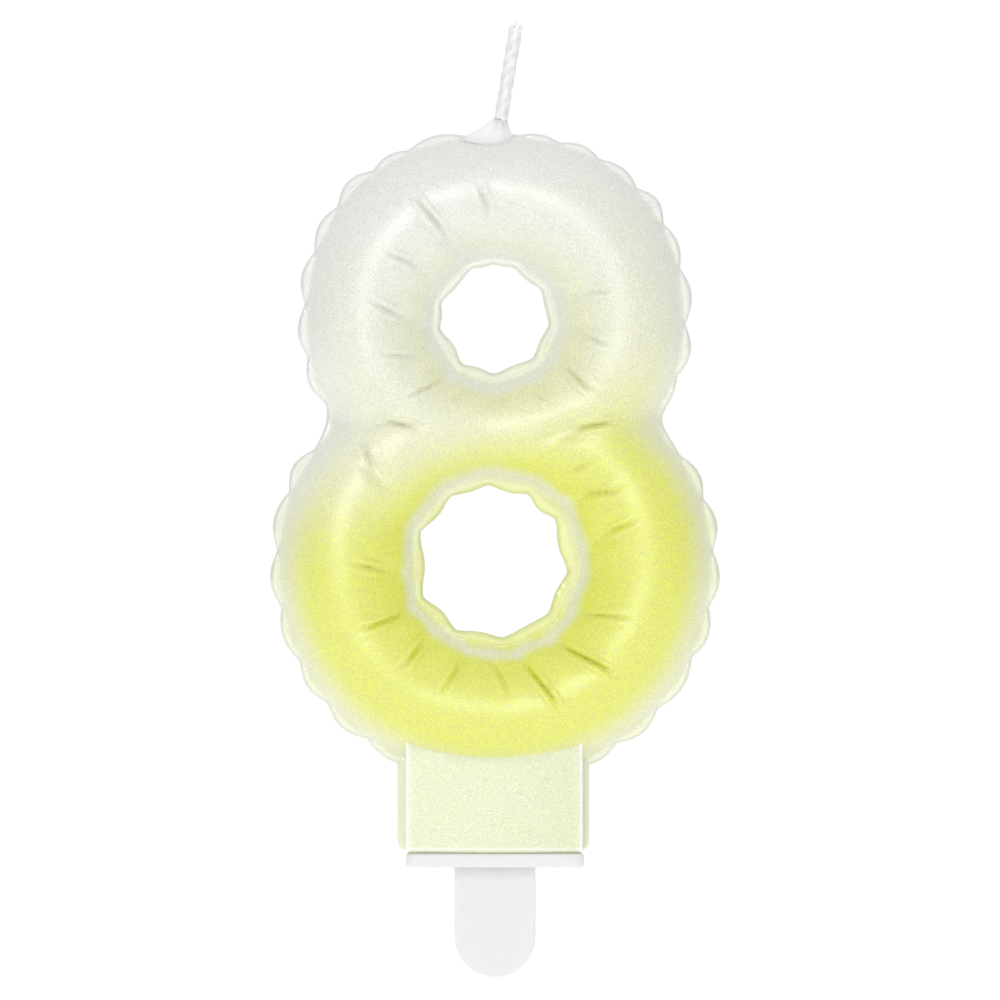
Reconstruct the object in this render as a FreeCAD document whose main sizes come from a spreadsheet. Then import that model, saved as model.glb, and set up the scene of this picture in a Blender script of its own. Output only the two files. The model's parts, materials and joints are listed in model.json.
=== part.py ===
"""A number birthday candle: a wax figure 8 shaped like a small foil balloon, with its wick and its cake pick.

The frame: +Z is up, +X is to the right of someone who reads the 8, and the reader looks along +Y.
The origin is the middle of the pick's stop plate, on its underside, where the candle rests on the cake.
The wax number and its wick are one body; the pick is a push fit in the slot of the wax foot.
"""

import FreeCAD, Part
import Sketcher
import os

from FreeCAD import Placement, Rotation, Vector

DRIVING_SIZES = {
    # wax number: two discs of one thickness, one standing in the other's top, each with a hole
    "lower_outer_radius": 24.2,
    "lower_hole_radius": 9.4,
    "upper_outer_radius": 21.3,
    "upper_hole_radius": 6.9,
    "ring_spacing": 27.2,
    "number_depth": 12.0,
    "round_radius": 5.2,
    "round_flat": 0.3,
    "waist_radius": 1.5,
    # seam: a thin rim half way through the depth, gathered into lobes
    "seam_thickness": 1.2,
    "lobe_radius": 2.7,
    "lobe_stand_out": 1.3,
    "upper_rim_lobes": 17,
    "upper_rim_start": -26.0,
    "upper_rim_extent": 232.0,
    "lower_rim_lobes": 8,
    "lower_rim_start": -60.0,
    "lower_rim_extent": 98.0,
    "upper_hole_lobes": 10,
    "lower_hole_lobes": 11,
    # wax foot under the number
    "foot_width": 20.8,
    "foot_depth": 9.0,
    "foot_height": 8.6,
    "foot_into_ring": 3.9,
    "foot_rim_width": 22.0,
    "foot_rim_lift": 0.6,
    # cake pick
    "plate_width": 20.1,
    "plate_depth": 8.2,
    "plate_thickness": 1.6,
    "plate_corner_radius": 1.2,
    "plate_edge_radius": 0.5,
    "tongue_width": 9.15,
    "tongue_length": 12.4,
    "pick_thickness": 1.6,
    "anchor_width": 8.0,
    "anchor_height": 8.5,
    "anchor_lead_in": 1.5,
    "slot_clearance": 0.1,
    "slot_headroom": 0.5,
    # wick: three strands laid together inside a sleeve of hardened wax
    "strand_radius": 0.3,
    "strand_gap": 0.03,
    "strand_pitch": 5.0,
    "coat_gap": 0.04,
    "coat_wall": 0.12,
    "bore_clearance": 0.03,
    "wick_sunk_length": 11.0,
    "wick_free_length": 12.6,
    "wick_lean": 9.6,
    "wick_offset": 0.4,
    # drop of wax that closes the wick's bore
    "seal_base_radius": 2.3,
    "seal_top_radius": 1.15,
    "seal_height": 2.0,
    "seal_sink": 1.4,
}
STRANDS = 3

# Lengths in mm and volumes in mm3 that differ by less than this are taken as equal
TOLERANCE = 1e-6

# Sizes and places that follow from the driving sizes, as expressions on the sheet's cells.
# Three equal strands that touch have their centres 2 / sqrt(3) strand radii from the wick's line.
LOWER_CENTRE = "(sizes.plate_thickness + sizes.foot_height + sizes.lower_outer_radius)"
UPPER_CENTRE = f"({LOWER_CENTRE} + sizes.ring_spacing)"
NUMBER_TOP = f"({UPPER_CENTRE} + sizes.upper_outer_radius)"
FOOT_TOP = "(sizes.plate_thickness + sizes.foot_height + sizes.foot_into_ring)"
ANCHOR_TOP = "(sizes.plate_thickness + sizes.anchor_height)"
TIP_CENTRE = "(-sizes.tongue_length + sizes.tongue_width / 2)"
NARROWEST = (
    "min(sizes.ring_spacing - sizes.upper_hole_radius - sizes.lower_hole_radius;"
    " sizes.upper_outer_radius - sizes.upper_hole_radius;"
    " sizes.lower_outer_radius - sizes.lower_hole_radius; sizes.number_depth)"
)
ROUND = f"min(sizes.round_radius; ({NARROWEST} - sizes.round_flat) / 2)"
LAY_RADIUS = "((sizes.strand_radius + sizes.strand_gap / 2) * 2 / sqrt(3))"
COAT_INNER = f"({LAY_RADIUS} + sizes.strand_radius + sizes.coat_gap)"
COAT_OUTER = f"({COAT_INNER} + sizes.coat_wall)"
BORE_RADIUS = f"({COAT_OUTER} + sizes.bore_clearance)"
WICK_LENGTH = "(sizes.wick_sunk_length + sizes.wick_free_length)"
WICK_FOOT_X = "sizes.wick_offset - sizes.wick_sunk_length * sin(sizes.wick_lean)"
WICK_FOOT_Z = f"{NUMBER_TOP} - sizes.wick_sunk_length * cos(sizes.wick_lean)"


def make_sheet(doc):
    """One row for each driving size: its name in column A and its value, under that alias, in column B."""
    sheet = doc.addObject("Spreadsheet::Sheet", "sizes")
    for row, (name, value) in enumerate(DRIVING_SIZES.items(), start=1):
        sheet.set(f"A{row}", name)
        sheet.set(f"B{row}", str(value))
        sheet.setAlias(f"B{row}", name)
    doc.recompute()


def bind(thing, **expressions):
    """Ties properties to expressions: a double underscore in a name stands for a dot."""
    for name, expression in expressions.items():
        thing.setExpression(name.replace("__", "."), expression)


def new_body(doc, label):
    body = doc.addObject("PartDesign::Body", label.title().replace("_", "") + "Body")
    body.Label = label
    return body


def plane_of(body, role):
    return next(feature for feature in body.Origin.OriginFeatures if feature.Role == role)


def new_sketch(body, name, role, height="0", turn="0"):
    """A sketch on one of the body's own planes, lifted by height along its second axis and turned by turn."""
    sketch = body.newObject("Sketcher::SketchObject", name)
    sketch.AttachmentSupport = [(plane_of(body, role), "")]
    sketch.MapMode = "FlatFace"
    sketch.AttachmentOffset = Placement(Vector(), Rotation(Vector(0, 0, 1), 1))
    bind(sketch, AttachmentOffset__Base__y=height, AttachmentOffset__Rotation__Angle=turn)
    return sketch


def dimension(sketch, name, constraint, expression):
    """Adds a constraint that carries a size, and ties it to an expression."""
    index = sketch.addConstraint(constraint)
    sketch.renameConstraint(index, name)
    bind(sketch, **{f"Constraints__{name}": expression})


def draw_circle(sketch, radius, offset=None):
    """A circle on the sketch's horizontal axis, offset from its origin, or on the origin itself."""
    circle = sketch.addGeometry(Part.Circle(Vector(1 if offset else 0, 0, 0), Vector(0, 0, 1), 1))
    if offset is None:
        sketch.addConstraint(Sketcher.Constraint("Coincident", circle, 3, -1, 1))
    else:
        sketch.addConstraint(Sketcher.Constraint("PointOnObject", circle, 3, -1))
        dimension(sketch, "offset", Sketcher.Constraint("DistanceX", -1, 1, circle, 3, 1), offset)
    dimension(sketch, "radius", Sketcher.Constraint("Radius", circle, 1), radius)


def draw_rectangle(sketch, width, bottom, top):
    """A rectangle centred on the sketch's vertical axis, from bottom to top."""
    corners = [Vector(-1, 1, 0), Vector(1, 1, 0), Vector(1, 2, 0), Vector(-1, 2, 0)]
    for here, there in zip(corners, corners[1:] + corners[:1]):
        sketch.addGeometry(Part.LineSegment(here, there))
    for side in range(4):
        sketch.addConstraint(Sketcher.Constraint("Coincident", side, 2, (side + 1) % 4, 1))
    sketch.addConstraint(Sketcher.Constraint("Symmetric", 0, 1, 0, 2, -2))
    for kind, side in (("Vertical", 1), ("Horizontal", 2), ("Vertical", 3)):
        sketch.addConstraint(Sketcher.Constraint(kind, side))
    dimension(sketch, "width", Sketcher.Constraint("DistanceX", 0, 1, 0, 2, 1), width)
    dimension(sketch, "bottom", Sketcher.Constraint("DistanceY", -1, 1, 0, 1, 1), bottom)
    dimension(sketch, "top", Sketcher.Constraint("DistanceY", -1, 1, 2, 1, 1), top)


def pad(body, sketch, name, length, symmetric=True):
    feature = body.newObject("PartDesign::Pad", name)
    feature.Profile = sketch
    feature.SideType = "Symmetric" if symmetric else "One side"
    bind(feature, Length=length)
    return feature


def pocket(body, sketch, name, length):
    """Cuts the sketch's shape out of the body, to both sides of the sketch."""
    body.Document.recompute()
    before = body.Shape.Volume
    feature = body.newObject("PartDesign::Pocket", name)
    feature.Profile = sketch
    feature.SideType = "Symmetric"
    bind(feature, Length=length)
    demand_a_cut(body, name, before)


def demand_a_cut(body, name, volume_before):
    body.Document.recompute()
    if body.Shape.Volume > volume_before - TOLERANCE:
        raise RuntimeError(f"{name} cuts nothing")


def dress_edges(body, kind, name, test, **size):
    """Rounds or chamfers the edges of the body for which test(shape, edge) holds."""
    body.Document.recompute()
    base = body.Tip
    shape = base.Shape
    edges = [f"Edge{n}" for n, edge in enumerate(shape.Edges, start=1) if test(shape, edge)]
    if not edges:
        raise RuntimeError(f"{name} finds no edge")
    feature = body.newObject(f"PartDesign::{kind}", name)
    feature.Base = (base, edges)
    bind(feature, **size)


def build_rings(body):
    """Two discs stood on one another, rounded at the waist, holed, and rounded until they look blown up."""
    half_depth = body.Document.sizes.number_depth / 2

    def is_waist(shape, edge):
        along_y = abs(edge.BoundBox.YLength - edge.Length) < TOLERANCE
        return along_y and len(shape.ancestorsOfType(edge, Part.Face)) == 2

    def on_front_or_back(shape, edge):
        box = edge.BoundBox
        return box.YLength < TOLERANCE and abs(abs(box.Center.y) - half_depth) < TOLERANCE

    for name, centre, radius in (
        ("LowerDisc", LOWER_CENTRE, "sizes.lower_outer_radius"),
        ("UpperDisc", UPPER_CENTRE, "sizes.upper_outer_radius"),
    ):
        sketch = new_sketch(body, name + "Sketch", "XZ_Plane", height=centre)
        draw_circle(sketch, radius)
        pad(body, sketch, name, "sizes.number_depth")
    dress_edges(body, "Fillet", "Waist", is_waist, Radius="sizes.waist_radius")
    for name, centre, radius in (
        ("LowerHole", LOWER_CENTRE, "sizes.lower_hole_radius"),
        ("UpperHole", UPPER_CENTRE, "sizes.upper_hole_radius"),
    ):
        sketch = new_sketch(body, name + "Sketch", "XZ_Plane", height=centre)
        draw_circle(sketch, radius)
        pocket(body, sketch, name, "sizes.number_depth * 2")
    dress_edges(body, "Fillet", "BlownUp", on_front_or_back, Radius=ROUND)


def build_foot(body):
    """The wax block that the lower ring's belly overhangs, with the seam's thin rim down its two sides."""
    block = new_sketch(body, "FootSketch", "XZ_Plane")
    draw_rectangle(block, "sizes.foot_width", "sizes.plate_thickness", FOOT_TOP)
    pad(body, block, "Foot", "sizes.foot_depth")
    rim = new_sketch(body, "FootRimSketch", "XZ_Plane")
    draw_rectangle(rim, "sizes.foot_rim_width", "sizes.plate_thickness + sizes.foot_rim_lift", FOOT_TOP)
    pad(body, rim, "FootRim", "sizes.seam_thickness")


def build_lobe_row(body, name, centre, lobe_centre, count, start="0", extent="360"):
    """A row of equal thin discs round a ring's centre, their own centres lobe_centre away from it."""
    sketch = new_sketch(body, name + "Sketch", "XZ_Plane", height=centre, turn=start)
    draw_circle(sketch, "sizes.lobe_radius", lobe_centre)
    lobe = pad(body, sketch, name + "Lobe", "sizes.seam_thickness")
    row = body.newObject("PartDesign::PolarPattern", name + "Row")
    row.Originals = [lobe]
    row.Axis = (sketch, ["N_Axis"])
    row.Mode = "Extent"
    bind(row, Angle=extent, Occurrences=count)
    body.Tip = row


def build_seam(body):
    """The seam's lobes: round the top, down both sides of the lower ring, and round each hole."""
    sunk = "(sizes.lobe_radius - sizes.lobe_stand_out)"
    build_lobe_row(
        body, "UpperRim", UPPER_CENTRE, f"sizes.upper_outer_radius - {sunk}",
        "sizes.upper_rim_lobes", "sizes.upper_rim_start", "sizes.upper_rim_extent",
    )
    for name, start in (
        ("RightRim", "sizes.lower_rim_start"),
        ("LeftRim", "180 - sizes.lower_rim_start - sizes.lower_rim_extent"),
    ):
        build_lobe_row(
            body, name, LOWER_CENTRE, f"sizes.lower_outer_radius - {sunk}",
            "sizes.lower_rim_lobes", start, "sizes.lower_rim_extent",
        )
    build_lobe_row(
        body, "UpperHoleRim", UPPER_CENTRE, f"sizes.upper_hole_radius + {sunk}", "sizes.upper_hole_lobes"
    )
    build_lobe_row(
        body, "LowerHoleRim", LOWER_CENTRE, f"sizes.lower_hole_radius + {sunk}", "sizes.lower_hole_lobes"
    )


def bore_for_the_wick(body):
    """A blind hole from the top of the upper ring, along the wick's own line."""
    body.Document.recompute()
    before = body.Shape.Volume
    bore = body.newObject("PartDesign::SubtractiveCylinder", "WickBore")
    bore.AttachmentSupport = [(plane_of(body, "XY_Plane"), "")]
    bore.MapMode = "FlatFace"
    bore.AttachmentOffset = Placement(Vector(), Rotation(Vector(0, 1, 0), 1))
    bind(
        bore,
        AttachmentOffset__Rotation__Angle="sizes.wick_lean",
        AttachmentOffset__Base__x=WICK_FOOT_X,
        AttachmentOffset__Base__z=WICK_FOOT_Z,
        Radius=BORE_RADIUS,
        Height=WICK_LENGTH,
    )
    demand_a_cut(body, "WickBore", before)


def slot_for_the_pick(body):
    """A slot up through the foot, which the pick's anchor blade fills but for its clearances."""
    slot = new_sketch(body, "SlotSketch", "XZ_Plane")
    width = "sizes.anchor_width + 2 * sizes.slot_clearance"
    draw_rectangle(slot, width, "0", f"{ANCHOR_TOP} + sizes.slot_headroom")
    pocket(body, slot, "PickSlot", "sizes.pick_thickness + 2 * sizes.slot_clearance")


def build_number(doc):
    """The wax casting: rings, foot and seam lobes, with the wick's bore and the pick's slot."""
    body = new_body(doc, "wax_number")
    build_rings(body)
    build_foot(body)
    build_seam(body)
    bore_for_the_wick(body)
    slot_for_the_pick(body)
    return body


def build_pick(doc):
    """The plastic pick: a tongue for the cake, a stop plate, and an anchor blade for the slot in the wax."""
    body = new_body(doc, "cake_pick")
    sizes = doc.sizes
    anchor_top = sizes.plate_thickness + sizes.anchor_height

    def is_upright(shape, edge):
        return abs(edge.BoundBox.ZLength - edge.Length) < TOLERANCE

    def on_underside(shape, edge):
        return edge.BoundBox.ZMax < TOLERANCE

    def is_anchor_corner(shape, edge):
        box = edge.BoundBox
        return box.ZMin > anchor_top - TOLERANCE and box.YLength > box.XLength

    plate = new_sketch(body, "PlateSketch", "XY_Plane")
    draw_rectangle(plate, "sizes.plate_width", "-sizes.plate_depth / 2", "sizes.plate_depth / 2")
    pad(body, plate, "StopPlate", "sizes.plate_thickness", symmetric=False)
    dress_edges(body, "Fillet", "PlateCorners", is_upright, Radius="sizes.plate_corner_radius")
    dress_edges(body, "Fillet", "PlateEdge", on_underside, Radius="sizes.plate_edge_radius")
    tongue = new_sketch(body, "TongueSketch", "XZ_Plane")
    draw_rectangle(tongue, "sizes.tongue_width", TIP_CENTRE, "sizes.plate_thickness / 2")
    pad(body, tongue, "Tongue", "sizes.pick_thickness")
    tip = new_sketch(body, "TipSketch", "XZ_Plane", height=TIP_CENTRE)
    draw_circle(tip, "sizes.tongue_width / 2")
    pad(body, tip, "TongueTip", "sizes.pick_thickness")
    anchor = new_sketch(body, "AnchorSketch", "XZ_Plane")
    draw_rectangle(anchor, "sizes.anchor_width", "sizes.plate_thickness / 2", ANCHOR_TOP)
    pad(body, anchor, "Anchor", "sizes.pick_thickness")
    dress_edges(body, "Chamfer", "LeadIn", is_anchor_corner, Size="sizes.anchor_lead_in")
    return body


def stand_on_wick_line(thing):
    """Puts a piece made along +Z on the wick's line, with its foot at the bottom of the bore."""
    thing.Placement = Placement(Vector(), Rotation(Vector(0, 1, 0), 1))
    bind(
        thing,
        Placement__Rotation__Angle="sizes.wick_lean",
        Placement__Base__x=WICK_FOOT_X,
        Placement__Base__z=WICK_FOOT_Z,
    )


def build_strand(doc, number):
    """One cotton strand: a round section carried up a helix round the wick's line."""
    body = new_body(doc, f"wick_strand_{number}")
    section = new_sketch(body, f"Strand{number}Sketch", "XY_Plane", turn=f"360 / {STRANDS} * {number - 1}")
    draw_circle(section, "sizes.strand_radius", LAY_RADIUS)
    doc.recompute()
    lay = body.newObject("PartDesign::AdditiveHelix", f"Strand{number}Lay")
    lay.Profile = section
    lay.ReferenceAxis = (section, ["N_Axis"])
    lay.Mode = "pitch-height-angle"
    bind(lay, Pitch="sizes.strand_pitch", Height=WICK_LENGTH)
    stand_on_wick_line(body)
    return body


def build_coat(doc):
    """The sleeve of hardened wax round the strands, open at both ends."""
    body = new_body(doc, "wick_wax_coat")
    outer = new_sketch(body, "CoatSketch", "XY_Plane")
    draw_circle(outer, COAT_OUTER)
    pad(body, outer, "Coat", WICK_LENGTH, symmetric=False)
    inner = new_sketch(body, "CoatBoreSketch", "XY_Plane")
    draw_circle(inner, COAT_INNER)
    pocket(body, inner, "CoatBore", f"{WICK_LENGTH} * 3")
    stand_on_wick_line(body)
    return body


def build_seal(doc, number):
    """The drop of wax that closes the bore: a cone round the wick, cut to the shape of the ring under it."""
    mound = doc.addObject("Part::Cone", "SealMound")
    bind(
        mound,
        Radius1="sizes.seal_base_radius",
        Radius2="sizes.seal_top_radius",
        Height="sizes.seal_height + sizes.seal_sink",
        Placement__Base__x="sizes.wick_offset",
        Placement__Base__z=f"{NUMBER_TOP} - sizes.seal_sink",
    )
    passage = doc.addObject("Part::Cylinder", "SealPassage")
    bind(passage, Radius=BORE_RADIUS, Height=WICK_LENGTH)
    stand_on_wick_line(passage)
    drilled = doc.addObject("Part::Cut", "DrilledMound")
    drilled.Base = mound
    drilled.Tool = passage
    seal = doc.addObject("Part::Cut", "WickSeal")
    seal.Base = drilled
    seal.Tool = number
    seal.Label = "wick_seal"
    return seal


def check(doc, pieces):
    """Stops with a message if a feature failed, or a piece is empty, broken or in more than one solid."""
    failed = [thing.Name for thing in doc.Objects if {"Invalid", "Error"} & set(thing.State)]
    if failed:
        raise RuntimeError(f"failed features: {failed}")
    for piece in pieces:
        shape = piece.Shape
        if shape.isNull() or not shape.isValid() or len(shape.Solids) != 1:
            raise RuntimeError(f"{piece.Label} is not one valid solid")


def write(pieces):
    os.makedirs("parts", exist_ok=True)
    for piece in pieces:
        piece.Shape.exportStep(os.path.join("parts", piece.Label + ".step"))
        print(f"{piece.Label}: {piece.Shape.Volume:.1f} mm3")


def main():
    doc = FreeCAD.newDocument("number_candle")
    make_sheet(doc)
    number = build_number(doc)
    pieces = [number, build_pick(doc)]
    pieces += [build_strand(doc, n + 1) for n in range(STRANDS)]
    pieces.append(build_coat(doc))
    pieces.append(build_seal(doc, number))
    doc.recompute()
    check(doc, pieces)
    write(pieces)


main()
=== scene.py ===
"""A number birthday candle, a puffed wax 8 that fades from white to yellow, standing in its own studio.

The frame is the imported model's: metres, +Z up, and the reader looks along +Y. Shapes are worked out in mm.
"""

import json

import bmesh
import bpy
import numpy as np
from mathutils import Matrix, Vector


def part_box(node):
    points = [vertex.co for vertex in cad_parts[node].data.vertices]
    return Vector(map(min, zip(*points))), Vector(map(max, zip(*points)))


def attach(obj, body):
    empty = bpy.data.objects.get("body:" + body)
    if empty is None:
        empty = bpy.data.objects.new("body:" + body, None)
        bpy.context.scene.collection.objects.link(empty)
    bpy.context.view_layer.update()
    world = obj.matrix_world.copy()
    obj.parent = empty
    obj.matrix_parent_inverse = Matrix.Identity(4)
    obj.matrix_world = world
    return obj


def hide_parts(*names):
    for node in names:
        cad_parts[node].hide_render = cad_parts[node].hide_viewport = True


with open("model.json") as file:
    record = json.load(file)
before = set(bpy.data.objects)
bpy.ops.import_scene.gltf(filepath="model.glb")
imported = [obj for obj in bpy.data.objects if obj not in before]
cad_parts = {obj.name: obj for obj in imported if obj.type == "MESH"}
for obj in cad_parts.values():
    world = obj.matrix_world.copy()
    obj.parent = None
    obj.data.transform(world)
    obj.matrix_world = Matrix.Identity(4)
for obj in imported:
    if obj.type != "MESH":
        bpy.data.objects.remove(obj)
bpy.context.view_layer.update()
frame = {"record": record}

# ---------------------------------------------------------------------------------------------------------
# The wax number. One casting: two rings blown up like a foil balloon, with the flat scalloped seam of such
# a balloon half way through their depth, round the outside and in both holes, and the foot under them.
# The front and the back are the same sheet of points, as far behind the seam as in front of it.

MM = 0.001
join_distance = 2e-7

loop_middles = {
    opening["name"]: np.mean(opening["box_m"], axis=0)[[0, 2]] / MM
    for opening in frame["record"]["physics"]["openings"]
}
number_low, number_high = (np.array(corner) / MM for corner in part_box("wax_number"))
half_depth = number_high[1]
cake_level_gap = number_low[2]

crest_height = half_depth - 0.1
crest_reach = 4.05
crest_power = 0.6
foot_of_wall = 0.6
tube_power = 1.5
hole_weight = 0.85
least_depth = 1e-4
notch_blend = 3.2
pinch_degrees = 16
waist_angle = {"upper": -35.0, "lower": 41.0}
waist_height = 50.2

# Each ring's middle, the size and shape of its rim, and its lobes, on the outer seam and in the hole: the
# angles (degrees) where they meet and how far each swells
rings = {
    "upper": {
        "middle": loop_middles["upper_loop"],
        "half_width": 21.55,
        "half_height": 21.1,
        "squareness": 2.2,
        "pinch": 0.9,
        "seam_edges": [-46, -31, -17, -1, 16, 30, 43, 57, 70, 83, 99, 117, 129, 144, 159, 175, 191, 206, 222],
        "seam_swells": [
            0.1, 0.4, 0.8, 0.8, 0.6, 0.9, 0.6, 0.55, 0.4, 0.3, 0.6, 0.5, 0.9, 0.7, 0.75, 0.75, 0.7, 0.3,
        ],
        "hole_edges": [-44, -4, 34, 72, 93, 113, 162, 188, 232, 268, 316],
        "hole_swells": [0.45, 0.3, 0.45, 0.15, 0.2, 0.6, 0.25, 0.75, 0.4, 0.5],
        "hole_radius": 6.15,
        "hole_drift": 0.25,
        "hole_drift_angle": 115,
        "body_hole_radius": 6.85,
    },
    "lower": {
        "middle": loop_middles["lower_loop"],
        "half_width": 24.65,
        "half_height": 24.45,
        "squareness": 2.05,
        "pinch": 1.0,
        "seam_edges": [
            -110, -97, -84, -70, -56, -42, -26, -12, 3, 17, 30,
            43, 137, 148, 161, 177, 192, 207, 220, 234, 250,
        ],
        "seam_swells": [
            0.4, 0.4, 0.4, 0.7, 0.8, 0.75, 0.8, 0.8, 0.8, 0.7,
            0.3, 0.0, 0.3, 0.9, 0.8, 0.8, 0.7, 0.7, 0.75, 0.7,
        ],
        "hole_edges": [-44, -8, 36, 64, 95, 124, 158, 206, 240, 276, 316],
        "hole_swells": [0.6, 0.85, 0.7, 0.6, 0.4, 0.7, 1.1, 0.75, 0.6, 0.4],
        "hole_radius": 8.6,
        "hole_drift": 0.42,
        "hole_drift_angle": 175,
        "body_hole_radius": 9.55,
    },
}
seam_margin = 0.1
seam_web = 0.2
seam_puff = 0.7
puff_place = 0.68
puff_width = 0.24
seam_ripple = 0.07
ripple_waves = (4.7, 4.1)
ripple_start = 1.3
seam_round = 0.4
seam_blend = 0.9
lobe_power = {"seam": 1.1, "hole": 1.3}

# Creases, each as ring, radius and angle of its end by the hole, radius and angle of its far end, and depth
creases = [
    ("upper", 11.2, 119, 16.8, 123, 0.34),
    ("upper", 12.4, 92, 15.2, 97, 0.30),
    ("upper", 10.8, 144, 14.2, 148, 0.26),
    ("upper", 10.4, 178, 13.8, 171, 0.30),
    ("upper", 9.8, 204, 12.9, 197, 0.26),
    ("upper", 8.8, 229, 13.0, 221, 0.34),
    ("upper", 8.4, 249, 10.8, 239, 0.22),
    ("upper", 8.4, 271, 10.3, 278, 0.20),
    ("upper", 8.6, 303, 10.9, 299, 0.22),
    ("upper", 9.2, 327, 13.3, 323, 0.36),
    ("upper", 9.8, 352, 12.9, 347, 0.26),
    ("upper", 11.0, 18, 13.4, 13, 0.22),
    ("upper", 17.0, 222, 15.0, 234, 0.40),
    ("upper", 15.2, 306, 17.8, 320, 0.40),
    ("lower", 17.4, 142, 20.0, 138, 0.34),
    ("lower", 13.2, 51, 15.8, 45, 0.24),
    ("lower", 12.6, 38, 16.2, 29, 0.34),
    ("lower", 12.8, 14, 16.2, 16, 0.28),
    ("lower", 12.2, 185, 16.0, 180, 0.30),
    ("lower", 11.4, 210, 16.6, 207, 0.36),
    ("lower", 11.8, 228, 15.6, 229, 0.34),
    ("lower", 11.8, 252, 15.2, 248, 0.30),
    ("lower", 11.2, 267, 14.6, 276, 0.30),
    ("lower", 11.6, 285, 17.8, 294, 0.42),
    ("lower", 11.6, 307, 18.4, 317, 0.46),
    ("lower", 11.4, 328, 15.9, 337, 0.34),
]
crease_width = 0.24
crease_bow = 0.3
crease_taper = 0.7
crease_lip = 0.9
lip_distance = 2.2 * crease_width
lip_width = 1.3 * crease_width
crease_depth = 1.1
crease_free_rim = 1.2
gather_width = 1.2
gather_depth = 1.7
gather_start = -0.1
gather_reach = 0.75
ray_halvings = 30


def polar(ring, x, z):
    """Distance and angle (radians) of points from a ring's middle."""
    dx = x - ring["middle"][0]
    dz = z - ring["middle"][1]
    return np.hypot(dx, dz), np.arctan2(dz, dx)


def lobe_rise(ring, kind, angle):
    """How far lobes rise between neighbouring edges (degrees): half a sine wave to a power, times a swell."""
    edges = np.radians(ring[kind + "_edges"])
    swells = ring[kind + "_swells"]
    turned = (angle - edges[0]) % (2 * np.pi) + edges[0]
    place = np.clip(np.searchsorted(edges, turned, side="right") - 1, 0, len(edges) - 2)
    share = np.clip((turned - edges[place]) / (edges[place + 1] - edges[place]), 0, 1)
    return np.array(swells)[place] * np.sin(np.pi * share) ** lobe_power[kind]


def plain_radius(ring, angle, waist):
    """The rim without its lobes: a superellipse, drawn in by a bell curve at both ends of the waist."""
    power = ring["squareness"]
    flat = np.abs(np.cos(angle) / ring["half_width"]) ** power
    tall = np.abs(np.sin(angle) / ring["half_height"]) ** power
    radius = (flat + tall) ** (-1 / power)
    for side in (waist, 180 - waist):
        off = np.degrees(np.angle(np.exp(1j * (angle - np.radians(side)))))
        radius = radius - ring["pinch"] * np.exp(-((off / pinch_degrees) ** 2))
    return radius


def hole_edge(ring, angle):
    """The seam's edge in a hole: a circle with a slow drift, less the lobes that stand into the hole."""
    drift = ring["hole_drift"] * np.cos(angle - np.radians(ring["hole_drift_angle"]))
    return ring["hole_radius"] + drift - lobe_rise(ring, "hole", angle)


def body_hole_edge(ring, angle):
    """Where the blown-up body starts round a hole: a circle that follows half of the seam's lobes."""
    return ring["body_hole_radius"] - 0.5 * lobe_rise(ring, "hole", angle)


def soft_max(a, b, reach):
    """The larger of two, rounded off where they differ by less than reach."""
    return np.maximum(a, b) + reach / 4 * np.clip(1 - np.abs(a - b) / reach, 0, None) ** 2


def depth_in_outline(x, z, with_lobes):
    """How far points lie inside the outer rim of the 8: the larger of the depths in its two rings, softly."""
    depths = []
    for name, ring in rings.items():
        distance, angle = polar(ring, x, z)
        edge = plain_radius(ring, angle, waist_angle[name])
        if with_lobes:
            edge = edge + lobe_rise(ring, "seam", angle)
        else:
            edge = edge - seam_margin
        depths.append(edge - distance)
    return soft_max(depths[0], depths[1], notch_blend)


def depths_from_holes(x, z, edge_of):
    """How far points lie outside the edge of each hole."""
    depths = []
    for ring in rings.values():
        distance, angle = polar(ring, x, z)
        depths.append(distance - edge_of(ring, angle))
    return depths


def creases_at(x, z):
    """Depth of the creases and, from 0 to 1, of the broad gathers round them, which start at the hole.

    A crease is a thin bell-shaped cut with a raised lip on both sides.
    """
    cuts = np.zeros_like(x)
    gathers = np.zeros_like(x)
    for name, near, near_angle, far, far_angle, depth in creases:
        middle = rings[name]["middle"]
        turns = np.radians([near_angle, far_angle])
        ends = middle + np.array([[near], [far]]) * np.column_stack([np.cos(turns), np.sin(turns)])
        length = np.hypot(*(ends[1] - ends[0]))
        along = (ends[1] - ends[0]) / length
        share = ((x - ends[0][0]) * along[0] + (z - ends[0][1]) * along[1]) / length
        bow = crease_bow * share * (1 - share)
        aside = (z - ends[0][1]) * along[0] - (x - ends[0][0]) * along[1] - bow
        groove = np.exp(-((aside / crease_width) ** 2))
        lips = np.exp(-(((np.abs(aside) - lip_distance) / lip_width) ** 2))
        taper = np.clip(4 * share * (1 - share), 0, 1) ** crease_taper
        cuts += depth * taper * (groove - crease_lip * lips)
        across_gather = (aside / gather_width) ** 2
        along_gather = ((share - gather_start) / gather_reach) ** 2
        gathers += depth * np.exp(-across_gather - along_gather)
    return cuts, gathers


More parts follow.
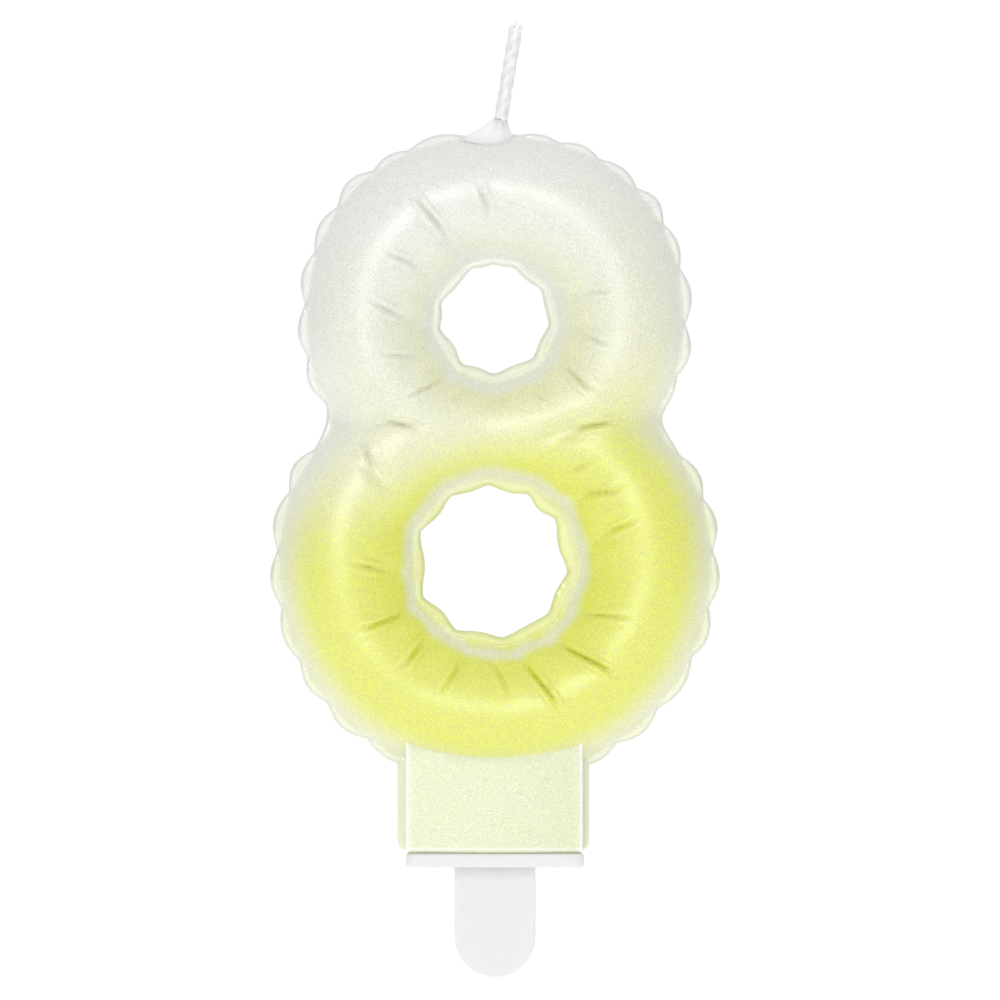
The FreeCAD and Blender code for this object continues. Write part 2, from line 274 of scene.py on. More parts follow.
def height(x, z):
    """Height of the surface over the seam's middle, zero on the seam's edge.

    The body's height is a power of one combined depth, which falls off towards the rim and both holes alike,
    so each ring is a round tube. The seam is a thin web with a small puff in each lobe.
    """
    body_depths = np.array([depth_in_outline(x, z, False), *depths_from_holes(x, z, body_hole_edge)])
    seam_depths = np.array([depth_in_outline(x, z, True), *depths_from_holes(x, z, hole_edge)])
    outer, *holes = np.clip(body_depths, least_depth, None)
    closeness = outer**-tube_power + sum((hole_weight * hole) ** -tube_power for hole in holes)
    combined = closeness ** (-1 / tube_power)
    wall = combined**2 / (combined + foot_of_wall)
    body = crest_height * (wall / crest_reach) ** crest_power
    cuts, gathers = creases_at(x, z)
    body = body - (crease_depth * cuts + gather_depth * gathers) * np.clip(combined / crease_free_rim, 0, 1)
    nearest = np.argmin(seam_depths, axis=0)[None]
    seam_depth = np.clip(np.take_along_axis(seam_depths, nearest, axis=0)[0], 0, None)
    width = seam_depth - np.take_along_axis(body_depths, nearest, axis=0)[0]
    puff = np.exp(-(((seam_depth - puff_place * width) / puff_width) ** 2))
    ripple = seam_ripple * np.sin(ripple_waves[0] * x + ripple_start) * np.sin(ripple_waves[1] * z)
    seam = seam_web + (seam_puff * puff + ripple) * np.clip(width, 0, 1)
    rounding = np.sqrt(1 - (1 - np.clip(seam_depth / seam_round, 0, 1)) ** 2)
    return soft_max(body, seam, seam_blend) * rounding


def crossing_of_ray(ring, angle, field, nearest, furthest):
    """The distance along each ray from a ring's middle at which a field falls to zero, found by halving."""
    near = np.broadcast_to(nearest, angle.shape).copy()
    far = np.broadcast_to(furthest, angle.shape).copy()
    for _ in range(ray_halvings):
        middle = (near + far) / 2
        x = ring["middle"][0] + middle * np.cos(angle)
        z = ring["middle"][1] + middle * np.sin(angle)
        inside = field(x, z) > 0
        near = np.where(inside, middle, near)
        far = np.where(inside, far, middle)
    return (near + far) / 2


# The two rings share the points of the waist line, from notch to notch, which are closest at its two ends
waist_columns = 60
waist_halvings = 40
waist_tolerance = 1e-6
waist_sides = np.array([-1.0, 1.0])
near = np.full(2, 8.0)
far = np.full(2, 22.0)
for _ in range(waist_halvings):
    middle = (near + far) / 2
    inside = depth_in_outline(waist_sides * middle, np.full(2, waist_height), True) > 0
    near = np.where(inside, middle, near)
    far = np.where(inside, far, middle)
waist_share = (1 - np.cos(np.linspace(0, np.pi, waist_columns + 1))) / 2
waist_x = -near[0] + (near[0] + near[1]) * waist_share

seam_steps = np.array([0, 0.05, 0.15, 0.3, 0.5, 0.74])
body_steps = 34
step_crowding = 0.9
least_seam = 0.12
rim_search = (15.0, 30.0)
body_rim_search = (10.0, 30.0)
free_columns = {"upper": 370, "lower": 425}


def ring_sheet(name):
    """One ring's points: columns round the ring, and in each the radii from the hole's seam edge outwards.

    A column ends on the outer rim, or on the waist line where it faces the other ring.
    """
    ring = rings[name]
    rise = waist_height - ring["middle"][1]
    waist_angles = np.arctan2(rise, waist_x - ring["middle"][0])
    start, end = waist_angles[-1], waist_angles[0]
    if name == "upper":
        free = np.linspace(start, end + 2 * np.pi, free_columns[name] + 1)[1:-1]
        angles = np.concatenate([waist_angles, free])
    else:
        free = np.linspace(end, start + 2 * np.pi, free_columns[name] + 1)[1:-1]
        angles = np.concatenate([waist_angles[::-1], free])
    on_waist = np.arange(len(angles)) <= waist_columns
    to_waist = np.where(on_waist, rise / np.where(on_waist, np.sin(angles), 1), np.inf)
    hole = hole_edge(ring, angles)
    body_hole = body_hole_edge(ring, angles)
    rim = crossing_of_ray(ring, angles, lambda x, z: depth_in_outline(x, z, True), *rim_search)
    rim = np.minimum(rim, to_waist)
    body_rim = crossing_of_ray(ring, angles, lambda x, z: depth_in_outline(x, z, False), *body_rim_search)
    body_rim = np.minimum(body_rim, rim - least_seam)
    inner = hole[:, None] + (body_hole - hole)[:, None] * seam_steps
    even_share = np.linspace(0, 1, body_steps + 1)
    crowded_share = (1 - np.cos(np.pi * even_share)) / 2
    body_share = step_crowding * crowded_share + (1 - step_crowding) * even_share
    body = body_hole[:, None] + (body_rim - body_hole)[:, None] * body_share
    outer = rim[:, None] - (rim - body_rim)[:, None] * seam_steps[::-1]
    radii = np.concatenate([inner, body, outer], axis=1)
    x = ring["middle"][0] + radii * np.cos(angles)[:, None]
    z = ring["middle"][1] + radii * np.sin(angles)[:, None]
    return x, z


def grid_faces(columns, rows, first=0, flip=False):
    """Four-sided faces of a grid of points that closes from its last column to its first."""
    corner = np.arange(columns * rows).reshape(columns, rows)
    across = np.roll(corner, -1, axis=0)
    sides = [corner[:, :-1], corner[:, 1:], across[:, 1:], across[:, :-1]]
    if flip:
        sides.reverse()
    return (np.stack([side.ravel() for side in sides], axis=1) + first).tolist()


def new_piece(name, points, faces):
    """A mesh object from points in mm, with points that coincide joined and its faces turned outwards."""
    mesh = bpy.data.meshes.new(name)
    mesh.from_pydata((points * MM).tolist(), [], faces)
    shell = bmesh.new()
    shell.from_mesh(mesh)
    bmesh.ops.remove_doubles(shell, verts=shell.verts, dist=join_distance)
    bmesh.ops.recalc_face_normals(shell, faces=shell.faces)
    shell.to_mesh(mesh)
    shell.free()
    mesh.shade_smooth()
    piece = bpy.data.objects.new(name, mesh)
    bpy.context.scene.collection.objects.link(piece)
    return piece


def stacked_piece(name, loops):
    """A closed piece from a stack of loops, each an array of the same number of points, with flat ends."""
    loops = np.array(loops)
    levels, around = loops.shape[:2]
    columns = loops.transpose(1, 0, 2).reshape(-1, 3)
    ends = [(np.arange(around) * levels + level).tolist() for level in (0, levels - 1)]
    return new_piece(name, columns, grid_faces(around, levels) + ends)


def combine(piece, other, operation):
    """Joins the other piece on, or cuts it away, and removes it."""
    change = piece.modifiers.new(operation, "BOOLEAN")
    change.operation = operation
    change.solver = "MANIFOLD"
    change.object = other
    bpy.context.view_layer.update()
    made = bpy.data.meshes.new_from_object(piece.evaluated_get(bpy.context.evaluated_depsgraph_get()))
    piece.modifiers.clear()
    piece.data = made
    bpy.data.objects.remove(other)


points, faces = [], []
for name in rings:
    x, z = ring_sheet(name)
    y = height(x, z)
    y[:, 0] = 0
    y[:, -1] = np.where(np.abs(z[:, -1] - waist_height) < waist_tolerance, y[:, -1], 0)
    for side in (-1, 1):
        faces += grid_faces(*x.shape, first=sum(len(part) for part in points), flip=side > 0)
        points.append(np.stack([x.ravel(), (side * y).ravel(), z.ravel()], axis=1))
number = new_piece("wax_number_body", np.concatenate(points), faces)

# The foot: a block with a slightly crowned front and back, a rim from the seam down both sides, and the
# slot for the pick's anchor. Its front face ends in the belly of the lower ring.
foot_middle = -0.1
foot_half_width = 10.03
foot_half_depth = 3.9
foot_crown = 0.4
foot_slope = 0.035
foot_top = 16.8
foot_edge = 0.4
foot_rims = {-1: 0.87, 1: 0.70}
foot_rim_half_depth = 0.55
foot_rim_squareness = 6
foot_rim_low = cake_level_gap + 0.35
foot_rim_corner = 0.8
foot_face_points = 25
edge_points = 7
slot_half_width = 4.1
slot_half_depth = 0.9
slot_top = 10.6


def foot_side(side, width, depth, rim):
    """Points down one side of the foot, front to back: a round edge, the rim on the seam, a round edge."""
    turn = np.linspace(0, np.pi / 2, edge_points)
    edge_x = width - foot_edge + foot_edge * np.sin(turn)
    edge_y = depth - foot_edge + foot_edge * np.cos(turn)
    rim_share = np.array([-1, -0.98, -0.9, -0.72, -0.4, 0, 0.4, 0.72, 0.9, 0.98, 1])
    rim_x = width + rim * np.sqrt(1 - np.abs(rim_share) ** foot_rim_squareness)
    wall_y = np.array([-2.4, -1.2])
    x = np.concatenate([edge_x, [width, width], rim_x, [width, width], edge_x[::-1]])
    y = np.concatenate([-edge_y, wall_y, rim_share * foot_rim_half_depth, -wall_y[::-1], edge_y[::-1]])
    return np.stack([side * x, y], axis=1)


def foot_loop(z, inset):
    """The foot's outline at one height, from the left of its front face round to the left again."""
    rise = np.clip((z - foot_rim_low) / foot_rim_corner, 0, 1)
    rim_share = np.sqrt(1 - (1 - rise) ** 2)
    width = foot_half_width - inset
    depth = foot_half_depth - foot_crown - foot_slope * (z - cake_level_gap) - inset
    sides = [foot_side(side, width, depth, foot_rims[side] * rim_share) for side in (-1, 1)]
    face_share = np.linspace(-1, 1, foot_face_points + 2)[1:-1]
    face_x = (width - foot_edge) * face_share
    crown = depth + foot_crown * (1 - face_share**2)
    front = np.stack([face_x, -crown], axis=1)
    back = np.stack([face_x[::-1], crown], axis=1)
    flat = np.concatenate([front, sides[1], back, sides[0][::-1]])
    return np.column_stack([flat[:, 0] + foot_middle, flat[:, 1], np.full(len(flat), z)])


foot_levels = []
for turn in np.linspace(np.pi / 2, 0, edge_points):
    foot_levels.append((cake_level_gap + foot_edge * (1 - np.sin(turn)), foot_edge * (1 - np.cos(turn))))
foot_levels += [(foot_rim_low + foot_rim_corner * share, 0) for share in (0.15, 0.3, 0.5, 0.75, 1)]
foot_levels += [(z, 0) for z in np.linspace(foot_rim_low + foot_rim_corner, foot_top, 12)[1:]]
foot = stacked_piece("foot", [foot_loop(z, inset) for z, inset in foot_levels])
combine(number, foot, "UNION")

slot_corners = np.array([[-1, -1], [1, -1], [1, 1], [-1, 1]]) * [slot_half_width, slot_half_depth]
slot = stacked_piece("slot", [np.column_stack([slot_corners, np.full(4, z)]) for z in (0, slot_top)])
combine(number, slot, "DIFFERENCE")

# The wick's line, from the box of its coat: the coat is a leaning tube as thick as the box is deep
coat_low, coat_high = (np.array(corner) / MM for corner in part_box("wick_wax_coat"))
coat_radius = coat_high[1]
wick_foot = np.array([coat_low[0] + coat_radius, 0, coat_low[2]])
wick_tip = np.array([coat_high[0] - coat_radius, 0, coat_high[2]])
wick_length = np.linalg.norm(wick_tip - wick_foot)
wick_axis = (wick_tip - wick_foot) / wick_length
wick_across = np.array([wick_axis[2], 0, -wick_axis[0]])
wick_bore = coat_radius + 0.03
bore_start = -0.1


def round_wick(along, turn, radius):
    """Points at distances along the wick's line, at turns about it, at a radius from it."""
    along, turn, radius = np.broadcast_arrays(along, turn, radius)
    forward = np.array([0, 1, 0])
    out = np.cos(turn)[..., None] * wick_across + np.sin(turn)[..., None] * forward
    return wick_foot + along[..., None] * wick_axis + radius[..., None] * out


turn = np.linspace(0, 2 * np.pi, 32, endpoint=False)
bore = stacked_piece("bore", [round_wick(along, turn, wick_bore) for along in (bore_start, wick_length)])
combine(number, bore, "DIFFERENCE")
number.data.shade_smooth()
number.data.set_sharp_from_angle(angle=np.radians(50))

# Written on the corners of the faces, from 0 to 1: how much yellow the wax holds, whether it is the seam or
# the foot, how near it is to the seam's edge and where painted highlight lines run along the foot's edges
fade_middle = 47.3
fade_length = 2.6
fade_slant = 0.35
strong_pigment = 0.78
faint_pigment = 0.2
faint_top = 80
faint_length = 25
near_hole_span = (1.5, 6)
veil_place = 0.55
veil_width = 0.85
veil_gather = 1.5
veil_strength = 0.8
hole_web_pigment = 0.55
hole_web_span = (-0.3, 0.6)
rim_span = (-1.6, 4.0)
outer_web_pigment = 0.25
outer_web_span = (-0.1, 0.3)
seam_span = (-0.1, 0.5)
# Painted shade: the seam darker from these depths out to its edge; the foot's rim gets a fixed share of it
edge_span = (0.15, 0.6)
foot_pigment = 0.25
foot_rim_shade = 0.5
foot_rim_span = (-0.05, 0.1)
# Painted highlight lines on the foot's round edges: width, inset from the sides, height over the bottom,
# bottom line's share
highlight_line_width = 0.14
highlight_line_inset = 0.22
highlight_line_rise = 0.45
bottom_highlight_share = 0.6
face_tolerance = 0.02

mesh = number.data
place = np.empty(len(mesh.vertices) * 3)
mesh.vertices.foreach_get("co", place)
place = place.reshape(-1, 3) / MM
corner_vertex = np.empty(len(mesh.loops), dtype=int)
mesh.loops.foreach_get("vertex_index", corner_vertex)
face_size = np.empty(len(mesh.polygons), dtype=int)
mesh.polygons.foreach_get("loop_total", face_size)
face_centre = np.empty(len(mesh.polygons) * 3)
mesh.polygons.foreach_get("center", face_centre)
face_centre = face_centre.reshape(-1, 3) / MM


def ramp(value, start, end):
    """A smooth rise from 0 at start to 1 at end."""
    share = np.clip((value - start) / (end - start), 0, 1)
    return share * share * (3 - 2 * share)


x, z = place[:, 0], place[:, 2]
outer_depth = depth_in_outline(x, z, False)
hole_depth = np.minimum(*depths_from_holes(x, z, body_hole_edge))
slanted = z - fade_slant * x
strong = strong_pigment / (1 + np.exp((slanted - fade_middle) / fade_length))
near_hole = 1 - ramp(hole_depth, *near_hole_span)
faint = faint_pigment * (1 + near_hole) * np.clip((faint_top - slanted) / faint_length, 0, 1)
veil_depth = hole_depth - veil_gather * creases_at(x, z)[1]
veil = np.exp(-(((veil_depth - veil_place) / veil_width) ** 2))
by_hole = hole_web_pigment + (1 - hole_web_pigment) * ramp(hole_depth, *hole_web_span)
by_rim = np.maximum(ramp(outer_depth, *rim_span), outer_web_pigment * ramp(-outer_depth, *outer_web_span))
pigment = (strong + faint) * by_rim * by_hole * (1 - veil_strength * veil)
seam = 1 - ramp(np.minimum(outer_depth, hole_depth), *seam_span)
seam_depth = np.minimum(depth_in_outline(x, z, True), np.minimum(*depths_from_holes(x, z, hole_edge)))
# Painted shade towards the seam's edge
edge = 1 - ramp(seam_depth, *edge_span)
face_x, face_z = face_centre[:, 0], face_centre[:, 2]
on_foot = (face_z < foot_top) & (np.abs(face_centre[:, 1]) > height(face_x, face_z) + face_tolerance)
on_foot = np.repeat(on_foot, face_size)
beside = np.abs(x - foot_middle) - foot_half_width
foot_rim = ramp(beside, *foot_rim_span)
# Painted highlight: thin white lines just inside the foot's sides and just above its bottom, where its round
# edges catch the light
bevel_highlight_sides = np.exp(-(((beside + highlight_line_inset) / highlight_line_width) ** 2))
bevel_highlight_bottom = np.exp(-(((z - cake_level_gap - highlight_line_rise) / highlight_line_width) ** 2))
nothing = np.zeros_like(x)
values = {
    "pigment": (pigment, nothing + foot_pigment),
    "seam": (seam, foot_rim),
    "foot": (nothing, 1 - foot_rim),
    "edge": (edge, nothing + foot_rim_shade),
    "bevel_highlight": (nothing, bevel_highlight_sides + bottom_highlight_share * bevel_highlight_bottom),
}
for name, (on_ring, on_block) in values.items():
    layer = mesh.attributes.new(name, "FLOAT", "CORNER")
    value = np.where(on_foot, on_block[corner_vertex], on_ring[corner_vertex])
    layer.data.foreach_set("value", value.astype(np.float32))


def new_material(name):
    """A material with one Principled shader, returned with its node tree and the shader."""
    material = bpy.data.materials.new(name)
    material.use_nodes = True
    return material, material.node_tree, material.node_tree.nodes["Principled BSDF"]


def noise(tree, scale, detail, stretch=(1, 1, 1)):
    """Noise in the piece's own coordinates, in cells per metre."""
    coordinates = tree.nodes.new("ShaderNodeTexCoord")
    mapping = tree.nodes.new("ShaderNodeMapping")
    mapping.inputs["Scale"].default_value = stretch
    texture = tree.nodes.new("ShaderNodeTexNoise")
    texture.inputs["Scale"].default_value = scale
    texture.inputs["Detail"].default_value = detail
    tree.links.new(coordinates.outputs["Object"], mapping.inputs["Vector"])
    tree.links.new(mapping.outputs["Vector"], texture.inputs["Vector"])
    return texture.outputs["Fac"]


def attribute(tree, name):
    """The value written on the mesh under this name."""
    node = tree.nodes.new("ShaderNodeAttribute")
    node.attribute_name = name
    return node.outputs["Fac"]


def mapped(tree, value, low, high, start=0.3, end=0.7):
    """A value between start and end turned into one between low and high."""
    node = tree.nodes.new("ShaderNodeMapRange")
    node.inputs["From Min"].default_value = start
    node.inputs["From Max"].default_value = end
    node.inputs["To Min"].default_value = low
    node.inputs["To Max"].default_value = high
    tree.links.new(value, node.inputs["Value"])
    return node.outputs["Result"]


def mixed(tree, factor, first, second, blend="MIX"):
    """Two colours mixed by a factor; each is a socket or a plain colour."""
    node = tree.nodes.new("ShaderNodeMix")
    node.data_type = "RGBA"
    node.blend_type = blend
    for socket, value in ((node.inputs[0], factor), (node.inputs[6], first), (node.inputs[7], second)):
        if isinstance(value, bpy.types.NodeSocket):
            tree.links.new(value, socket)
        else:
            socket.default_value = value
    return node.outputs[2]


def computed(tree, operation, first, second):
    """Two values, each a socket or a plain number, put through one operation."""
    node = tree.nodes.new("ShaderNodeMath")
    node.operation = operation
    for socket, value in zip(node.inputs, (first, second)):
        if isinstance(value, bpy.types.NodeSocket):
            tree.links.new(value, socket)
        else:
            socket.default_value = value
    return node.outputs["Value"]


def bumped(tree, shader, value, distance):
    """Bumps from a value, as deep as distance (metres) from its 0 to its 1."""
    node = tree.nodes.new("ShaderNodeBump")
    node.inputs["Distance"].default_value = distance
    node.inputs["Strength"].default_value = 1.0
    tree.links.new(value, node.inputs["Height"])
    tree.links.new(node.outputs["Normal"], shader.inputs["Normal"])


white_wax = (0.85, 0.86, 0.82, 1)
yellow_wax = (0.80, 0.835, 0.11, 1)
seam_wax_and_highlight = (0.91, 0.92, 0.89, 1)
edge_shade = (0.75, 0.79, 0.79, 1)
bevel_highlight_white = (0.97, 0.98, 0.95, 1)
foot_wax = (0.79, 0.83, 0.56, 1)

material, tree, shader = new_material("pearl_wax")
fine_grain = noise(tree, 6500, 1)
mottle = noise(tree, 700, 3)
pigment = attribute(tree, "pigment")
seam = attribute(tree, "seam")
yellow_share = computed(tree, "MULTIPLY", pigment, mapped(tree, mottle, 0.96, 1.04))
yellow_share = computed(tree, "MULTIPLY", yellow_share, mapped(tree, fine_grain, 0.84, 1.14))
grain_shade = mapped(tree, fine_grain, 0.79, 1.05)
body_colour = mixed(tree, yellow_share, white_wax, yellow_wax)
body_colour = mixed(tree, attribute(tree, "foot"), body_colour, foot_wax)
body_colour = mixed(tree, 1.0, body_colour, grain_shade, "MULTIPLY")
# Painted highlight lines along the foot's round edges
body_colour = mixed(tree, attribute(tree, "bevel_highlight"), body_colour, bevel_highlight_white)
# The seam: paler thin wax, with painted highlight, whitest on the inner part of each lobe
seam_colour = mixed(tree, pigment, seam_wax_and_highlight, yellow_wax)
# Painted shade: the seam darker towards its outer edge, and part as dark on the foot's rim
painted_edge_shade = mixed(tree, attribute(tree, "edge"), (1, 1, 1, 1), edge_shade)
seam_colour = mixed(tree, 1.0, seam_colour, painted_edge_shade, "MULTIPLY")
tree.links.new(mixed(tree, seam, body_colour, seam_colour), shader.inputs["Base Color"])
smoothness = mapped(tree, seam, 1.0, 0.4, 0, 1)
roughness = computed(tree, "MULTIPLY", mapped(tree, fine_grain, 0.32, 0.46), smoothness)
tree.links.new(roughness, shader.inputs["Roughness"])
shader.inputs["Coat Roughness"].default_value = 0.3
shader.inputs["Subsurface Weight"].default_value = 0.35
shader.inputs["Subsurface Radius"].default_value = (1.0, 0.95, 0.6)
shader.inputs["Subsurface Scale"].default_value = 0.0012
shader.inputs["Specular IOR Level"].default_value = 1.0
shader.inputs["Coat Weight"].default_value = 0.7
grain_rise = computed(tree, "MULTIPLY", fine_grain, mapped(tree, seam, 1, 0.1, 0, 1))
bumped(tree, shader, grain_rise, 0.00004)
mesh.materials.clear()
mesh.materials.append(material)
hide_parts("wax_number")
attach(number, "candle")

# ---------------------------------------------------------------------------------------------------------
# The seal: a mound of wax drawn up round the wick where it leaves the number, whitest at the top and fading
# down to the number's white wax. It is a closed collar.
seal_reach = {"left": 4.6, "right": 3.0, "front": 2.1}
seal_power = {"left": 1.25, "right": 1.6, "front": 1.9}
seal_top = 12.65
seal_bottom = 9.4
seal_steps = 18
seal_whitest_above = 83.6
seal_number_white_below = 81.4
seal_start = 0.74
seal_lip = 0.1
seal_ripple = 0.06
seal_ripples = 5

turn = np.linspace(0, 2 * np.pi, 96, endpoint=False)
leftward = np.cos(turn) < 0
side_reach = np.where(leftward, seal_reach["left"], seal_reach["right"])
side_power = np.where(leftward, seal_power["left"], seal_power["right"])
reach = 1 / np.hypot(np.cos(turn) / side_reach, np.sin(turn) / seal_reach["front"])[:, None]
power = (seal_power["front"] + (side_power - seal_power["front"]) * np.cos(turn) ** 2)[:, None]
share = np.linspace(0, 1, seal_steps)
outer_radius = seal_start + seal_lip * ramp(share, 0, 0.1) + (reach - seal_start) * share**power
outer_along = seal_top - (seal_top - seal_bottom) * share
ripple = seal_ripple * np.cos(seal_ripples * turn + 1.2)[:, None] * np.sin(np.pi * share)
outer_wall = round_wick(outer_along, turn[:, None], outer_radius + ripple)
inner_along = np.linspace(seal_bottom, seal_top, 6)[:-1]
inner_wall = round_wick(inner_along, turn[:, None], seal_start)
collar = np.concatenate([outer_wall, inner_wall, outer_wall[:, :1]], axis=1)
seal = new_piece("wick_seal_wax", collar.reshape(-1, 3), grid_faces(*collar.shape[:2]))
place = np.empty(len(seal.data.vertices) * 3)
seal.data.vertices.foreach_get("co", place)
down = ramp(seal_whitest_above - place[2::3] / MM, 0, seal_whitest_above - seal_number_white_below)
seal.data.attributes.new("down", "FLOAT", "POINT").data.foreach_set("value", down.astype(np.float32))

seal_top_white = (0.97, 0.98, 0.96, 1)
material, tree, shader = new_material("clear_wax")
# Whitest at the top, fading down to the number's white wax
colour = mixed(tree, attribute(tree, "down"), seal_top_white, white_wax)
tree.links.new(colour, shader.inputs["Base Color"])
shader.inputs["Subsurface Weight"].default_value = 0.5
shader.inputs["Subsurface Radius"].default_value = (1.0, 1.0, 0.9)
shader.inputs["Subsurface Scale"].default_value = 0.001
drops = noise(tree, 1600, 2)
tree.links.new(mapped(tree, drops, 0.15, 0.3), shader.inputs["Roughness"])
bumped(tree, shader, drops, 0.0001)
seal.data.materials.append(material)
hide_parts("wick_seal")
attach(seal, "candle")

# ---------------------------------------------------------------------------------------------------------
# The wick's three cotton strands, laid round each other like a cord, each a bundle of fibres.
strand_radius = 0.3
strand_lay_radius = 0.364
strand_pitch = 5.0
strand_fibres = 7
strand_end_gap = 0.02
fibre_groove = 0.1
fibre_twist = 0.6
tip_length = 2.2
tip_splay = 0.16
tip_taper = 0.35
tip_drops = (0.0, 0.35, 0.6)

along = np.linspace(strand_end_gap, wick_length - strand_end_gap, 260)
turn = np.linspace(0, 2 * np.pi, 28, endpoint=False)
cotton, tree, shader = new_material("cotton")
shader.inputs["Base Color"].default_value = (0.88, 0.88, 0.86, 1)
shader.inputs["Roughness"].default_value = 0.7
near_tip = ramp(along, wick_length - tip_length, wick_length)
aside = np.cos(turn)[:, None, None] * wick_across + np.sin(turn)[:, None, None] * np.array([0, 1, 0])
for index, tip_drop in enumerate(tip_drops):
    lay = 2 * np.pi * (along / strand_pitch + index / len(tip_drops))
    centre = round_wick(along - tip_drop * near_tip, lay, strand_lay_radius + tip_splay * near_tip)
    fibres = np.abs(np.cos(strand_fibres / 2 * (turn[:, None] - fibre_twist * lay)))
    radius = strand_radius * (1 - fibre_groove * (1 - fibres)) * (1 - tip_taper * near_tip)
    surface = centre + radius[..., None] * aside
    strand = stacked_piece(f"wick_strand_{index + 1}_cotton", surface.transpose(1, 0, 2))
    strand.data.materials.append(cotton)
    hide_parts(f"wick_strand_{index + 1}")
    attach(strand, "candle")

# ---------------------------------------------------------------------------------------------------------
# The wick's wax coat: a thin skin that shows the strands' lay as three soft ridges, with fine streaks. Each
# streak is given as waves round the wick, turn per mm along it, start and height.
coat_inner_radius = 0.70
coat_middle_radius = 0.755
coat_thinnest = 0.02
coat_ridge = 0.035
coat_blend = 0.03
coat_top = wick_length - 0.8
streaks = ((5, 0.9, 0.3, 0.012), (8, -0.7, 1.7, 0.010), (13, 0.5, 4.0, 0.008), (2, 2.1, 0.9, 0.014))

along = np.linspace(0, coat_top, 300)
turn = np.linspace(0, 2 * np.pi, 72, endpoint=False)[:, None]
ridges = np.cos(len(tip_drops) * (turn - 2 * np.pi * along / strand_pitch))
radius = coat_middle_radius + coat_ridge * ridges
for waves, drift, start, rise in streaks:
    radius = radius + rise * np.cos(waves * turn + drift * along + start)
radius = soft_max(radius, coat_inner_radius + coat_thinnest, coat_blend)
outer_wall = round_wick(along, turn, radius)
inner_wall = round_wick(along[::-1], turn, coat_inner_radius)
skin = np.concatenate([outer_wall, inner_wall, outer_wall[:, :1]], axis=1)
coat = new_piece("wick_wax_coat_skin", skin.reshape(-1, 3), grid_faces(*skin.shape[:2]))

material, tree, shader = new_material("wick_wax")
shader.inputs["Base Color"].default_value = (1.0, 1.0, 0.99, 1)
shader.inputs["Subsurface Weight"].default_value = 0.3
shader.inputs["Subsurface Radius"].default_value = (1.0, 1.0, 1.0)
shader.inputs["Subsurface Scale"].default_value = 0.0006
streak = noise(tree, 2500, 3, (1, 1, 0.15))
tree.links.new(mapped(tree, streak, 0.2, 0.5), shader.inputs["Roughness"])
bumped(tree, shader, streak, 0.00014)
shader.inputs["Coat Weight"].default_value = 0.6
shader.inputs["Coat Roughness"].default_value = 0.25
coat.data.materials.append(material)
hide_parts("wick_wax_coat")
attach(coat, "candle")

# ---------------------------------------------------------------------------------------------------------
# The pick: one moulding in milky plastic with round edges. The number stands on its plate, with the anchor
# in the foot's slot, and its tongue goes in the cake.
pick_low, pick_high = (np.array(corner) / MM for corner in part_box("cake_pick"))
pick_edge = 0.25
plate_edge = 0.45
plate_top = cake_level_gap - 0.01
plate_corner = 1.2
blade_half_depth = 0.8
blades_meet = 0.8
square_corner = 0.1
least_corner = 0.02
holding_loop = 1.3
tongue_half_width = 4.575
anchor_half_width = 4.0
anchor_lead_in = 1.5


def slab(name, half_width, ends, corners, thickness, edge, upright):
    """A plate with round corners and round edges, upright in X and Z or lying in X and Y.

    Its ends are its lowest and highest Z or Y, each with its own corner radius. One more loop, just inside
    the round edge, keeps the faces flat.
    """
    loops = []
    turn = np.linspace(0, np.pi / 2, 16)
    edge_turn = np.linspace(0, np.pi / 2, 6)
    insets = [edge * holding_loop, *(edge * (1 - np.sin(edge_turn)))]
    levels = [thickness[0], *(thickness[0] + edge * (1 - np.cos(edge_turn)))]
    insets += insets[::-1]
    levels += [sum(thickness) - level for level in levels[::-1]]
    for inset, level in zip(insets, levels):
        outline = []
        for side, upper in ((1, True), (-1, True), (-1, False), (1, False)):
            inwards = -1 if upper else 1
            radius = max(corners[upper] - inset, least_corner)
            corner_turn = turn if (side > 0) == upper else turn[::-1]
            u = side * (half_width - inset - radius + radius * np.cos(corner_turn))
            v = ends[upper] + inwards * (inset + radius - radius * np.sin(corner_turn))
            outline.append(np.column_stack([u, v]))
        flat = np.concatenate(outline)
        depth = np.full(len(flat), level)
        columns = [flat[:, 0], depth, flat[:, 1]] if upright else [flat[:, 0], flat[:, 1], depth]
        loops.append(np.column_stack(columns))
    return stacked_piece(name, loops)


plate_ends = (pick_low[1], pick_high[1])
plate_corners = (plate_corner, plate_corner)
pick = slab("cake_pick_moulding", pick_high[0], plate_ends, plate_corners, (0, plate_top), plate_edge, False)
across = (-blade_half_depth, blade_half_depth)
tongue_ends = (pick_low[2], blades_meet)
tongue_corners = (tongue_half_width, square_corner)
tongue = slab("tongue", tongue_half_width, tongue_ends, tongue_corners, across, pick_edge, True)
anchor_ends = (blades_meet, pick_high[2])
anchor_corners = (square_corner, anchor_lead_in)
anchor = slab("anchor", anchor_half_width, anchor_ends, anchor_corners, across, pick_edge, True)
combine(pick, tongue, "UNION")
combine(pick, anchor, "UNION")
pick.data.shade_smooth()
pick.data.set_sharp_from_angle(angle=np.radians(40))

material, tree, shader = new_material("pick_plastic")
shader.inputs["Base Color"].default_value = (0.77, 0.77, 0.77, 1)
shader.inputs["Subsurface Weight"].default_value = 0.25
shader.inputs["Subsurface Radius"].default_value = (1.0, 1.0, 1.0)
shader.inputs["Subsurface Scale"].default_value = 0.001
moulded = noise(tree, 3500, 2)
tree.links.new(mapped(tree, moulded, 0.35, 0.5), shader.inputs["Roughness"])
bumped(tree, shader, moulded, 0.00002)
pick.data.materials.clear()
pick.data.materials.append(material)
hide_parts("cake_pick")
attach(pick, "pick")

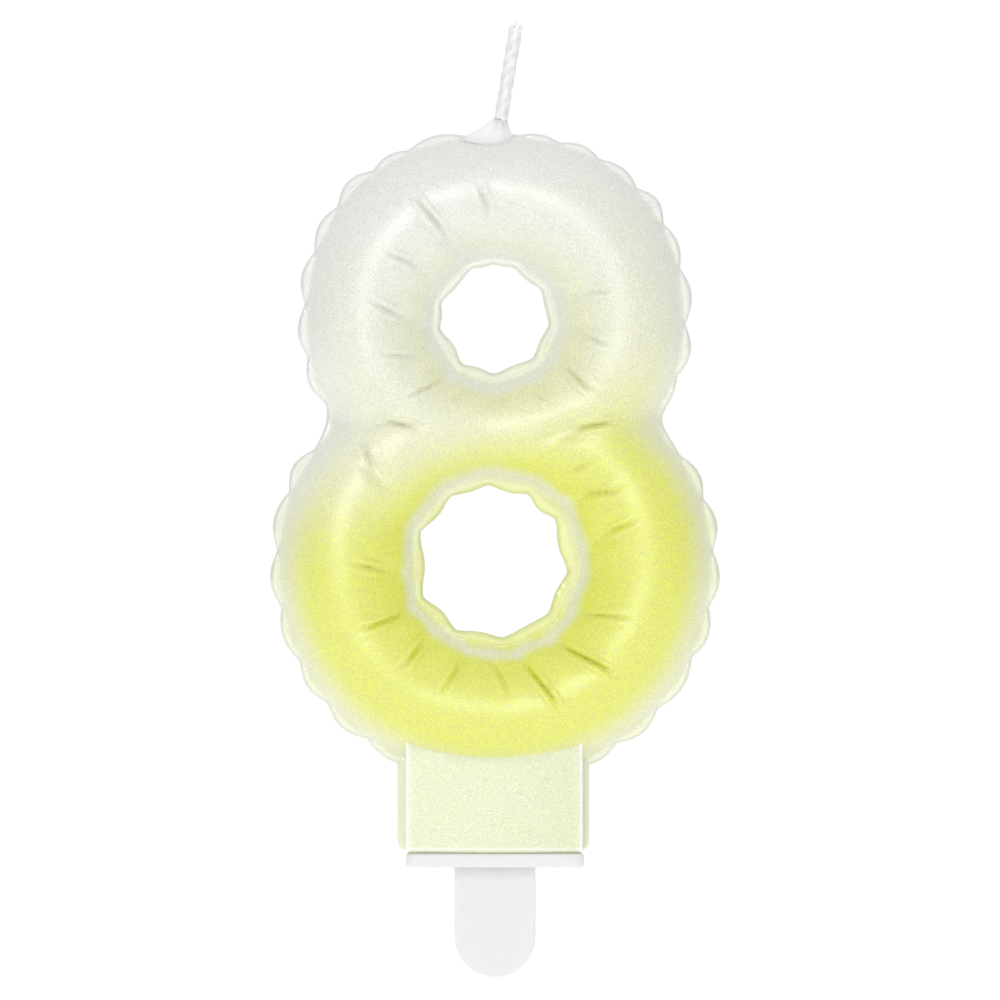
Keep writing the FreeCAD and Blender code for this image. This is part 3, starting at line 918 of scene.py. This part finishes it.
# ---------------------------------------------------------------------------------------------------------
# The studio: a glowing white table, surroundings that are brightest behind the number and overhead, a soft
# key light in front, to the left and a little above, and the camera.
table_size = 1.2
table_height = pick_low[2] * MM
corners = np.array([[-1, -1], [1, -1], [1, 1], [-1, 1]]) * table_size / 2
table_points = np.column_stack([corners, np.full(4, table_height)])
table_mesh = bpy.data.meshes.new("light_table")
table_mesh.from_pydata(table_points.tolist(), [], [(0, 1, 2, 3)])
light_table = bpy.data.objects.new("light_table", table_mesh)
bpy.context.scene.collection.objects.link(light_table)
material, tree, shader = new_material("light_table")
shader.inputs["Base Color"].default_value = (0.7, 0.7, 0.7, 1)
shader.inputs["Roughness"].default_value = 0.9
shader.inputs["Specular IOR Level"].default_value = 0.0
shader.inputs["Emission Color"].default_value = (1, 1, 1, 1)
shader.inputs["Emission Strength"].default_value = 0.5
light_table.data.materials.append(material)

world = bpy.data.worlds.new("white_surroundings")
world.use_nodes = True
tree = world.node_tree
direction = tree.nodes.new("ShaderNodeTexCoord")
axes = tree.nodes.new("ShaderNodeSeparateXYZ")
tree.links.new(direction.outputs["Generated"], axes.inputs["Vector"])
tree.nodes["Background"].inputs["Color"].default_value = (1, 1, 1, 1)
behind = mapped(tree, axes.outputs["Y"], 0.4, 1.02, 0.3, 0.97)
above = mapped(tree, axes.outputs["Z"], 0.4, 0.92, 0.05, 0.8)
tree.links.new(computed(tree, "MAXIMUM", behind, above), tree.nodes["Background"].inputs["Strength"])
bpy.context.scene.world = world


def aimed(thing, place, target):
    """Puts a lamp or the camera at a place, turned towards a target, both in metres."""
    thing.location = place
    thing.rotation_euler = (Vector(target) - Vector(place)).to_track_quat("-Z", "Y").to_euler()
    bpy.context.scene.collection.objects.link(thing)


key = bpy.data.objects.new("key_light", bpy.data.lights.new("key_light", "AREA"))
key.data.size = 0.5
key.data.energy = 3.7
aimed(key, (-0.14, -1.13, 0.34), (0, 0, 0.045))

view_width = 0.1129
view_middle = (0.00056, 0, 0.0414)
camera_distance = 1.5
camera = bpy.data.objects.new("camera", bpy.data.cameras.new("camera"))
camera.data.sensor_width = 36
camera.data.lens = camera.data.sensor_width * camera_distance / view_width
camera.data.clip_end = 20
aimed(camera, (view_middle[0], -camera_distance, view_middle[2]), view_middle)
bpy.context.scene.camera = camera
bpy.context.scene.view_settings.view_transform = "Standard"
